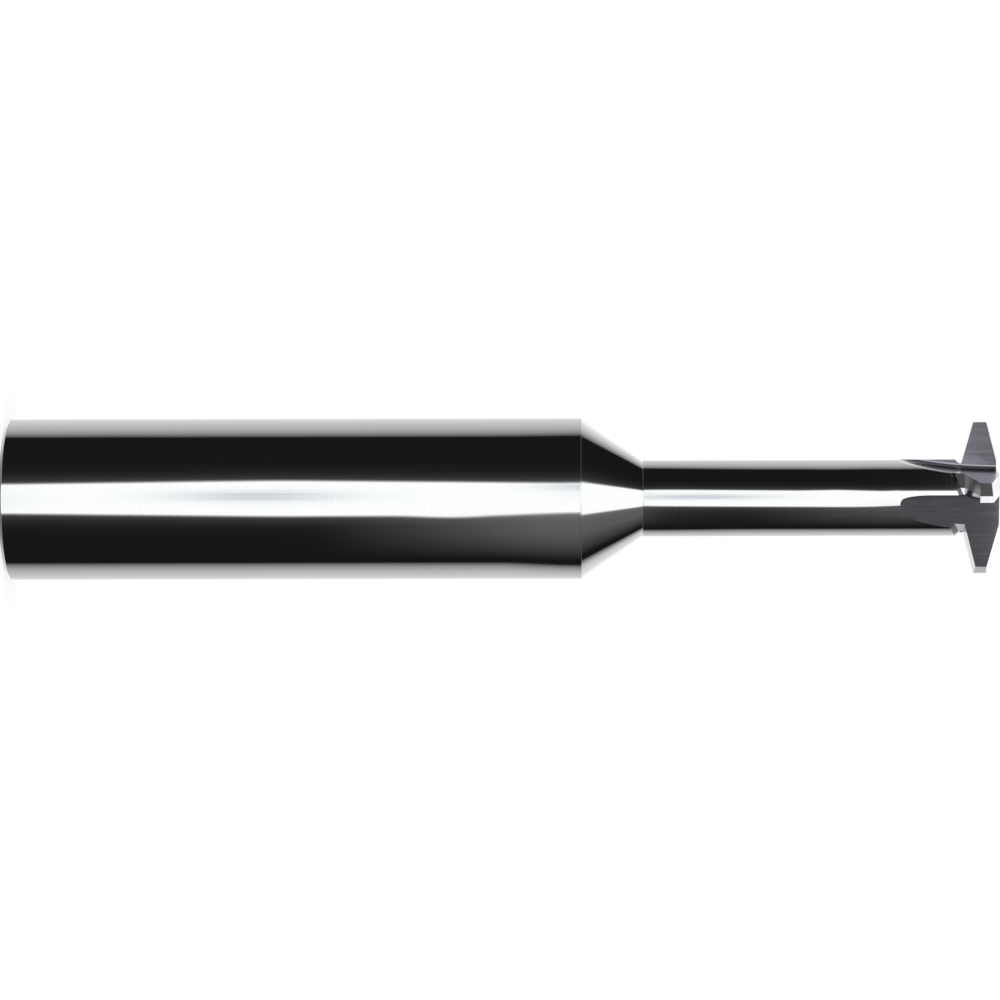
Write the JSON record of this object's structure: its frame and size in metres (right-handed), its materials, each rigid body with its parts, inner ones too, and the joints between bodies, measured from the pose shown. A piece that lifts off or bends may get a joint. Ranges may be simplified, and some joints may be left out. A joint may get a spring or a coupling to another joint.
{
  "type": "thread mill",
  "caption": "Solid carbide single-profile thread mill: round shank, cone and slim neck carrying a fluted head of trapezoid teeth that mills a trapezoidal thread.",
  "frame": {"origin": "middle of the shank's flat end face, on which the tool stands", "axes": "+Z along the tool's axis from the shank to the cutting head, which is also the axis it turns about when it cuts; one cutting edge's crest lies on +X, the others follow at even spacing"},
  "size_m": [0.012, 0.012, 0.073],
  "materials": {
    "carbide": "bright ground tungsten carbide: polished shank, cone and neck, finer matte in the flutes and on the rake faces"
  },
  "bodies": {
    "root": {"thread_mill": "carbide"}
  },
  "joints": []
}
